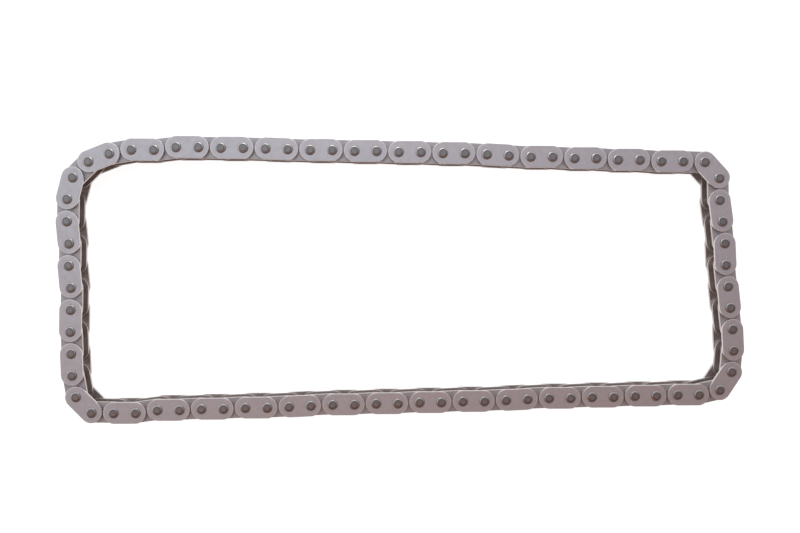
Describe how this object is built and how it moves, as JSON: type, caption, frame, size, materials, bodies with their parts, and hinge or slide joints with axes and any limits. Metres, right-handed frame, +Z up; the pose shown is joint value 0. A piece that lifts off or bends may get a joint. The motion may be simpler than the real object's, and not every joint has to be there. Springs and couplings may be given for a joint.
{
  "type": "timing chain",
  "caption": "Endless steel bush chain of flat link plates on riveted pins, lying flat as a long loop, for an engine's timing drive",
  "frame": {"origin": "middle of the loop's rectangle, on the surface that the lower pin ends rest on", "axes": "+X along the loop's long runs, +Y across the loop, +Z up along the pivots"},
  "size_m": [0.2516, 0.1044, 0.0104],
  "materials": {
    "outer_link_steel": "satin, tumbled, lavender grey",
    "inner_link_steel": "satin, tumbled, slightly darker grey"
  },
  "bodies": {
    "inner_link_02": {"inner_link_02": "inner_link_steel"},
    "outer_link_03": {"outer_link_03": "outer_link_steel"},
    "inner_link_04": {"inner_link_04": "inner_link_steel"},
    "outer_link_05": {"outer_link_05": "outer_link_steel"},
    "inner_link_06": {"inner_link_06": "inner_link_steel"},
    "outer_link_07": {"outer_link_07": "outer_link_steel"},
    "link_run_08_to_10": {"link_run_08_to_10": "outer_link_steel"},
    "outer_link_11": {"outer_link_11": "outer_link_steel"},
    "inner_link_12": {"inner_link_12": "inner_link_steel"},
    "outer_link_13": {"outer_link_13": "outer_link_steel"},
    "inner_link_14": {"inner_link_14": "inner_link_steel"},
    "outer_link_15": {"outer_link_15": "outer_link_steel"},
    "inner_link_16": {"inner_link_16": "inner_link_steel"},
    "outer_link_17": {"outer_link_17": "outer_link_steel"},
    "link_run_18_to_20": {"link_run_18_to_20": "outer_link_steel"},
    "outer_link_21": {"outer_link_21": "outer_link_steel"},
    "inner_link_22": {"inner_link_22": "inner_link_steel"},
    "outer_link_23": {"outer_link_23": "outer_link_steel"},
    "inner_link_24": {"inner_link_24": "inner_link_steel"},
    "outer_link_25": {"outer_link_25": "outer_link_steel"},
    "inner_link_26": {"inner_link_26": "inner_link_steel"},
    "outer_link_27": {"outer_link_27": "outer_link_steel"},
    "inner_link_28": {"inner_link_28": "inner_link_steel"},
    "outer_link_29": {"outer_link_29": "outer_link_steel"},
    "link_run_30_to_31": {"link_run_30_to_31": "outer_link_steel"},
    "inner_link_32": {"inner_link_32": "inner_link_steel"},
    "outer_link_33": {"outer_link_33": "outer_link_steel"},
    "link_run_34_to_36": {"link_run_34_to_36": "outer_link_steel"},
    "outer_link_37": {"outer_link_37": "outer_link_steel"},
    "link_run_38_to_41": {"link_run_38_to_41": "outer_link_steel"},
    "inner_link_42": {"inner_link_42": "inner_link_steel"},
    "outer_link_43": {"outer_link_43": "outer_link_steel"},
    "inner_link_44": {"inner_link_44": "inner_link_steel"},
    "outer_link_45": {"outer_link_45": "outer_link_steel"},
    "inner_link_46": {"inner_link_46": "inner_link_steel"},
    "outer_link_47": {"outer_link_47": "outer_link_steel"},
    "link_run_48_to_50": {"link_run_48_to_50": "outer_link_steel"},
    "outer_link_51": {"outer_link_51": "outer_link_steel"},
    "inner_link_52": {"inner_link_52": "inner_link_steel"},
    "outer_link_53": {"outer_link_53": "outer_link_steel"},
    "inner_link_54": {"inner_link_54": "inner_link_steel"},
    "outer_link_55": {"outer_link_55": "outer_link_steel"},
    "inner_link_56": {"inner_link_56": "inner_link_steel"},
    "outer_link_57": {"outer_link_57": "outer_link_steel"},
    "link_run_58_to_60": {"link_run_58_to_60": "outer_link_steel"},
    "outer_link_61": {"outer_link_61": "outer_link_steel"},
    "inner_link_62": {"inner_link_62": "inner_link_steel"},
    "outer_link_63": {"outer_link_63": "outer_link_steel"},
    "inner_link_64": {"inner_link_64": "inner_link_steel"},
    "outer_link_65": {"outer_link_65": "outer_link_steel"},
    "inner_link_66": {"inner_link_66": "inner_link_steel"},
    "outer_link_67": {"outer_link_67": "outer_link_steel"},
    "inner_link_68": {"inner_link_68": "inner_link_steel"},
    "outer_link_69": {"outer_link_69": "outer_link_steel"},
    "link_run_70_to_72": {"link_run_70_to_72": "outer_link_steel"},
    "link_run_73_to_74": {"link_run_73_to_74": "outer_link_steel"},
    "outer_link_75": {"outer_link_75": "outer_link_steel"},
    "inner_link_76": {"inner_link_76": "inner_link_steel"},
    "outer_link_77": {"outer_link_77": "outer_link_steel"},
    "link_run_78_to_01": {"link_run_78_to_01": "outer_link_steel"}
  },
  "joints": [
    {"name": "pivot_61", "type": "hinge", "parent": "link_run_58_to_60", "child": "outer_link_61", "pos_m": [-0.05065, -0.04647, 0], "axis": [0, 0, -1], "range_deg": [-30, 30]},
    {"name": "pivot_62", "type": "hinge", "parent": "outer_link_61", "child": "inner_link_62", "pos_m": [-0.05865, -0.04647, 0], "axis": [0, 0, -1], "range_deg": [-30, 30]},
    {"name": "pivot_63", "type": "hinge", "parent": "inner_link_62", "child": "outer_link_63", "pos_m": [-0.06664, -0.04682, 0], "axis": [0, 0, 1], "range_deg": [-30, 30]},
    {"name": "pivot_64", "type": "hinge", "parent": "outer_link_63", "child": "inner_link_64", "pos_m": [-0.07464, -0.04682, 0], "axis": [0, 0, 1], "range_deg": [-30, 30]},
    {"name": "pivot_65", "type": "hinge", "parent": "inner_link_64", "child": "outer_link_65", "pos_m": [-0.08263, -0.04717, 0], "axis": [0, 0, -1], "range_deg": [-30, 30]},
    {"name": "pivot_66", "type": "hinge", "parent": "outer_link_65", "child": "inner_link_66", "pos_m": [-0.09063, -0.04717, 0], "axis": [0, 0, -1], "range_deg": [-30, 30]},
    {"name": "pivot_67", "type": "hinge", "parent": "inner_link_66", "child": "outer_link_67", "pos_m": [-0.09857, -0.04821, 0], "axis": [0, 0, 1], "range_deg": [-30, 30]},
    {"name": "pivot_68", "type": "hinge", "parent": "outer_link_67", "child": "inner_link_68", "pos_m": [-0.10657, -0.04821, 0], "axis": [0, 0, 1], "range_deg": [-30, 30]},
    {"name": "pivot_69", "type": "hinge", "parent": "inner_link_68", "child": "outer_link_69", "pos_m": [-0.11456, -0.04805, 0], "axis": [0, 0, -1], "range_deg": [-30, 30]},
    {"name": "pivot_70", "type": "hinge", "parent": "outer_link_69", "child": "link_run_70_to_72", "pos_m": [-0.12007, -0.04225, 0], "axis": [0, 0, -1], "range_deg": [-30, 30]},
    {"name": "pivot_73", "type": "hinge", "parent": "link_run_70_to_72", "child": "link_run_73_to_74", "pos_m": [-0.12156, -0.01834, 0], "axis": [0, 0, 1], "range_deg": [-20, 20]},
    {"name": "pivot_75", "type": "hinge", "parent": "link_run_73_to_74", "child": "outer_link_75", "pos_m": [-0.121, -0.00235, 0], "axis": [0, 0, 1], "range_deg": [-30, 30]},
    {"name": "pivot_76", "type": "hinge", "parent": "outer_link_75", "child": "inner_link_76", "pos_m": [-0.12156, 0.00563, 0], "axis": [0, 0, 1], "range_deg": [-30, 30]},
    {"name": "pivot_77", "type": "hinge", "parent": "inner_link_76", "child": "outer_link_77", "pos_m": [-0.12128, 0.01362, 0], "axis": [0, 0, -1], "range_deg": [-30, 30]},
    {"name": "pivot_78", "type": "hinge", "parent": "outer_link_77", "child": "link_run_78_to_01", "pos_m": [-0.12184, 0.0216, 0], "axis": [0, 0, -1], "range_deg": [-30, 30]},
    {"name": "pivot_02", "type": "hinge", "parent": "link_run_78_to_01", "child": "inner_link_02", "pos_m": [-0.10627, 0.04585, 0], "axis": [0, 0, 1], "range_deg": [-20, 20]},
    {"name": "pivot_03", "type": "hinge", "parent": "inner_link_02", "child": "outer_link_03", "pos_m": [-0.09839, 0.04724, 0], "axis": [0, 0, 1], "range_deg": [-30, 30]},
    {"name": "pivot_04", "type": "hinge", "parent": "outer_link_03", "child": "inner_link_04", "pos_m": [-0.09039, 0.04724, 0], "axis": [0, 0, 1], "range_deg": [-30, 30]},
    {"name": "pivot_05", "type": "hinge", "parent": "inner_link_04", "child": "outer_link_05", "pos_m": [-0.08245, 0.04821, 0], "axis": [0, 0, -1], "range_deg": [-30, 30]},
    {"name": "pivot_06", "type": "hinge", "parent": "outer_link_05", "child": "inner_link_06", "pos_m": [-0.07445, 0.04821, 0], "axis": [0, 0, -1], "range_deg": [-30, 30]},
    {"name": "pivot_07", "type": "hinge", "parent": "inner_link_06", "child": "outer_link_07", "pos_m": [-0.06646, 0.04805, 0], "axis": [0, 0, 1], "range_deg": [-30, 30]},
    {"name": "pivot_08", "type": "hinge", "parent": "outer_link_07", "child": "link_run_08_to_10", "pos_m": [-0.05846, 0.04805, 0], "axis": [0, 0, 1], "range_deg": [-30, 30]},
    {"name": "pivot_11", "type": "hinge", "parent": "link_run_08_to_10", "child": "outer_link_11", "pos_m": [-0.03447, 0.04739, 0], "axis": [0, 0, -1], "range_deg": [-30, 30]},
    {"name": "pivot_12", "type": "hinge", "parent": "outer_link_11", "child": "inner_link_12", "pos_m": [-0.02647, 0.04739, 0], "axis": [0, 0, -1], "range_deg": [-30, 30]},
    {"name": "pivot_13", "type": "hinge", "parent": "inner_link_12", "child": "outer_link_13", "pos_m": [-0.01847, 0.04712, 0], "axis": [0, 0, 1], "range_deg": [-30, 30]},
    {"name": "pivot_14", "type": "hinge", "parent": "outer_link_13", "child": "inner_link_14", "pos_m": [-0.01047, 0.04712, 0], "axis": [0, 0, 1], "range_deg": [-30, 30]},
    {"name": "pivot_15", "type": "hinge", "parent": "inner_link_14", "child": "outer_link_15", "pos_m": [-0.00248, 0.04681, 0], "axis": [0, 0, -1], "range_deg": [-30, 30]},
    {"name": "pivot_16", "type": "hinge", "parent": "outer_link_15", "child": "inner_link_16", "pos_m": [0.00552, 0.04681, 0], "axis": [0, 0, -1], "range_deg": [-30, 30]},
    {"name": "pivot_17", "type": "hinge", "parent": "inner_link_16", "child": "outer_link_17", "pos_m": [0.01352, 0.04647, 0], "axis": [0, 0, 1], "range_deg": [-30, 30]},
    {"name": "pivot_58", "type": "hinge", "parent": "link_run_58_to_60", "child": "outer_link_57", "pos_m": [-0.02667, -0.04542, 0], "axis": [0, 0, 1], "range_deg": [-30, 30]},
    {"name": "pivot_57", "type": "hinge", "parent": "outer_link_57", "child": "inner_link_56", "pos_m": [-0.01867, -0.04542, 0], "axis": [0, 0, 1], "range_deg": [-30, 30]},
    {"name": "pivot_56", "type": "hinge", "parent": "inner_link_56", "child": "outer_link_55", "pos_m": [-0.01068, -0.04507, 0], "axis": [0, 0, -1], "range_deg": [-30, 30]},
    {"name": "pivot_55", "type": "hinge", "parent": "outer_link_55", "child": "inner_link_54", "pos_m": [-0.00268, -0.04507, 0], "axis": [0, 0, -1], "range_deg": [-30, 30]},
    {"name": "pivot_54", "type": "hinge", "parent": "inner_link_54", "child": "outer_link_53", "pos_m": [0.00531, -0.04473, 0], "axis": [0, 0, 1], "range_deg": [-30, 30]},
    {"name": "pivot_53", "type": "hinge", "parent": "outer_link_53", "child": "inner_link_52", "pos_m": [0.01331, -0.04473, 0], "axis": [0, 0, 1], "range_deg": [-30, 30]},
    {"name": "pivot_52", "type": "hinge", "parent": "inner_link_52", "child": "outer_link_51", "pos_m": [0.0213, -0.04438, 0], "axis": [0, 0, -1], "range_deg": [-30, 30]},
    {"name": "pivot_51", "type": "hinge", "parent": "outer_link_51", "child": "link_run_48_to_50", "pos_m": [0.0293, -0.04438, 0], "axis": [0, 0, -1], "range_deg": [-30, 30]},
    {"name": "pivot_48", "type": "hinge", "parent": "link_run_48_to_50", "child": "outer_link_47", "pos_m": [0.05328, -0.04333, 0], "axis": [0, 0, 1], "range_deg": [-30, 30]},
    {"name": "pivot_47", "type": "hinge", "parent": "outer_link_47", "child": "inner_link_46", "pos_m": [0.06128, -0.04333, 0], "axis": [0, 0, 1], "range_deg": [-30, 30]},
    {"name": "pivot_46", "type": "hinge", "parent": "inner_link_46", "child": "outer_link_45", "pos_m": [0.06927, -0.04298, 0], "axis": [0, 0, -1], "range_deg": [-30, 30]},
    {"name": "pivot_45", "type": "hinge", "parent": "outer_link_45", "child": "inner_link_44", "pos_m": [0.07727, -0.04298, 0], "axis": [0, 0, -1], "range_deg": [-30, 30]},
    {"name": "pivot_44", "type": "hinge", "parent": "inner_link_44", "child": "outer_link_43", "pos_m": [0.08527, -0.04263, 0], "axis": [0, 0, 1], "range_deg": [-30, 30]},
    {"name": "pivot_43", "type": "hinge", "parent": "outer_link_43", "child": "inner_link_42", "pos_m": [0.09327, -0.04263, 0], "axis": [0, 0, 1], "range_deg": [-30, 30]},
    {"name": "pivot_42", "type": "hinge", "parent": "inner_link_42", "child": "link_run_38_to_41", "pos_m": [0.10126, -0.04228, 0], "axis": [0, 0, 1], "range_deg": [-20, 20]},
    {"name": "pivot_38", "type": "hinge", "parent": "link_run_38_to_41", "child": "outer_link_37", "pos_m": [0.12184, -0.02578, 0], "axis": [0, 0, 1], "range_deg": [-30, 30]},
    {"name": "pivot_37", "type": "hinge", "parent": "outer_link_37", "child": "link_run_34_to_36", "pos_m": [0.12128, -0.0178, 0], "axis": [0, 0, 1], "range_deg": [-30, 30]},
    {"name": "pivot_34", "type": "hinge", "parent": "link_run_34_to_36", "child": "outer_link_33", "pos_m": [0.11815, 0.00599, 0], "axis": [0, 0, -1], "range_deg": [-30, 30]},
    {"name": "pivot_33", "type": "hinge", "parent": "outer_link_33", "child": "inner_link_32", "pos_m": [0.11759, 0.01398, 0], "axis": [0, 0, -1], "range_deg": [-30, 30]},
    {"name": "pivot_32", "type": "hinge", "parent": "inner_link_32", "child": "link_run_30_to_31", "pos_m": [0.11655, 0.02191, 0], "axis": [0, 0, 1], "range_deg": [-20, 20]},
    {"name": "pivot_30", "type": "hinge", "parent": "link_run_30_to_31", "child": "outer_link_29", "pos_m": [0.11495, 0.0378, 0], "axis": [0, 0, -1], "range_deg": [-30, 30]},
    {"name": "pivot_29", "type": "hinge", "parent": "outer_link_29", "child": "inner_link_28", "pos_m": [0.10944, 0.0436, 0], "axis": [0, 0, -1], "range_deg": [-30, 30]},
    {"name": "pivot_28", "type": "hinge", "parent": "inner_link_28", "child": "outer_link_27", "pos_m": [0.10144, 0.04381, 0], "axis": [0, 0, 1], "range_deg": [-30, 30]},
    {"name": "pivot_27", "type": "hinge", "parent": "outer_link_27", "child": "inner_link_26", "pos_m": [0.09344, 0.04381, 0], "axis": [0, 0, 1], "range_deg": [-30, 30]},
    {"name": "pivot_26", "type": "hinge", "parent": "inner_link_26", "child": "outer_link_25", "pos_m": [0.08546, 0.04434, 0], "axis": [0, 0, -1], "range_deg": [-30, 30]},
    {"name": "pivot_25", "type": "hinge", "parent": "outer_link_25", "child": "inner_link_24", "pos_m": [0.07746, 0.04434, 0], "axis": [0, 0, -1], "range_deg": [-30, 30]},
    {"name": "pivot_24", "type": "hinge", "parent": "inner_link_24", "child": "outer_link_23", "pos_m": [0.06947, 0.04482, 0], "axis": [0, 0, 1], "range_deg": [-30, 30]},
    {"name": "pivot_23", "type": "hinge", "parent": "outer_link_23", "child": "inner_link_22", "pos_m": [0.06147, 0.04482, 0], "axis": [0, 0, 1], "range_deg": [-30, 30]},
    {"name": "pivot_22", "type": "hinge", "parent": "inner_link_22", "child": "outer_link_21", "pos_m": [0.05349, 0.04527, 0], "axis": [0, 0, -1], "range_deg": [-30, 30]},
    {"name": "pivot_21", "type": "hinge", "parent": "outer_link_21", "child": "link_run_18_to_20", "pos_m": [0.04549, 0.04527, 0], "axis": [0, 0, -1], "range_deg": [-30, 30]}
  ],
  "couplings": [
    {"joint": "pivot_62", "follows": "pivot_61", "ratio": -1},
    {"joint": "pivot_64", "follows": "pivot_63", "ratio": -1},
    {"joint": "pivot_66", "follows": "pivot_65", "ratio": -1},
    {"joint": "pivot_68", "follows": "pivot_67", "ratio": -1},
    {"joint": "pivot_70", "follows": "pivot_69", "ratio": -1},
    {"joint": "pivot_76", "follows": "pivot_75", "ratio": -1},
    {"joint": "pivot_78", "follows": "pivot_77", "ratio": -1},
    {"joint": "pivot_02", "follows": "pivot_73", "ratio": -1},
    {"joint": "pivot_03", "follows": "pivot_67", "ratio": 1},
    {"joint": "pivot_04", "follows": "pivot_67", "ratio": -1},
    {"joint": "pivot_05", "follows": "pivot_65", "ratio": 1},
    {"joint": "pivot_06", "follows": "pivot_65", "ratio": -1},
    {"joint": "pivot_07", "follows": "pivot_63", "ratio": 1},
    {"joint": "pivot_08", "follows": "pivot_63", "ratio": -1},
    {"joint": "pivot_11", "follows": "pivot_61", "ratio": 1},
    {"joint": "pivot_12", "follows": "pivot_61", "ratio": -1},
    {"joint": "pivot_13", "follows": "pivot_58", "ratio": 1},
    {"joint": "pivot_14", "follows": "pivot_58", "ratio": -1},
    {"joint": "pivot_15", "follows": "pivot_56", "ratio": 1},
    {"joint": "pivot_16", "follows": "pivot_56", "ratio": -1},
    {"joint": "pivot_17", "follows": "pivot_54", "ratio": 1},
    {"joint": "pivot_57", "follows": "pivot_58", "ratio": -1},
    {"joint": "pivot_55", "follows": "pivot_56", "ratio": -1},
    {"joint": "pivot_53", "follows": "pivot_54", "ratio": -1},
    {"joint": "pivot_51", "follows": "pivot_52", "ratio": -1},
    {"joint": "pivot_47", "follows": "pivot_48", "ratio": -1},
    {"joint": "pivot_45", "follows": "pivot_46", "ratio": -1},
    {"joint": "pivot_43", "follows": "pivot_44", "ratio": -1},
    {"joint": "pivot_42", "follows": "pivot_73", "ratio": 1},
    {"joint": "pivot_38", "follows": "pivot_75", "ratio": 1},
    {"joint": "pivot_37", "follows": "pivot_75", "ratio": -1},
    {"joint": "pivot_34", "follows": "pivot_77", "ratio": 1},
    {"joint": "pivot_33", "follows": "pivot_77", "ratio": -1},
    {"joint": "pivot_32", "follows": "pivot_73", "ratio": -1},
    {"joint": "pivot_30", "follows": "pivot_69", "ratio": 1},
    {"joint": "pivot_29", "follows": "pivot_69", "ratio": -1},
    {"joint": "pivot_28", "follows": "pivot_44", "ratio": 1},
    {"joint": "pivot_27", "follows": "pivot_44", "ratio": -1},
    {"joint": "pivot_26", "follows": "pivot_46", "ratio": 1},
    {"joint": "pivot_25", "follows": "pivot_46", "ratio": -1},
    {"joint": "pivot_24", "follows": "pivot_48", "ratio": 1},
    {"joint": "pivot_23", "follows": "pivot_48", "ratio": -1},
    {"joint": "pivot_22", "follows": "pivot_52", "ratio": 1},
    {"joint": "pivot_21", "follows": "pivot_52", "ratio": -1}
  ]
}
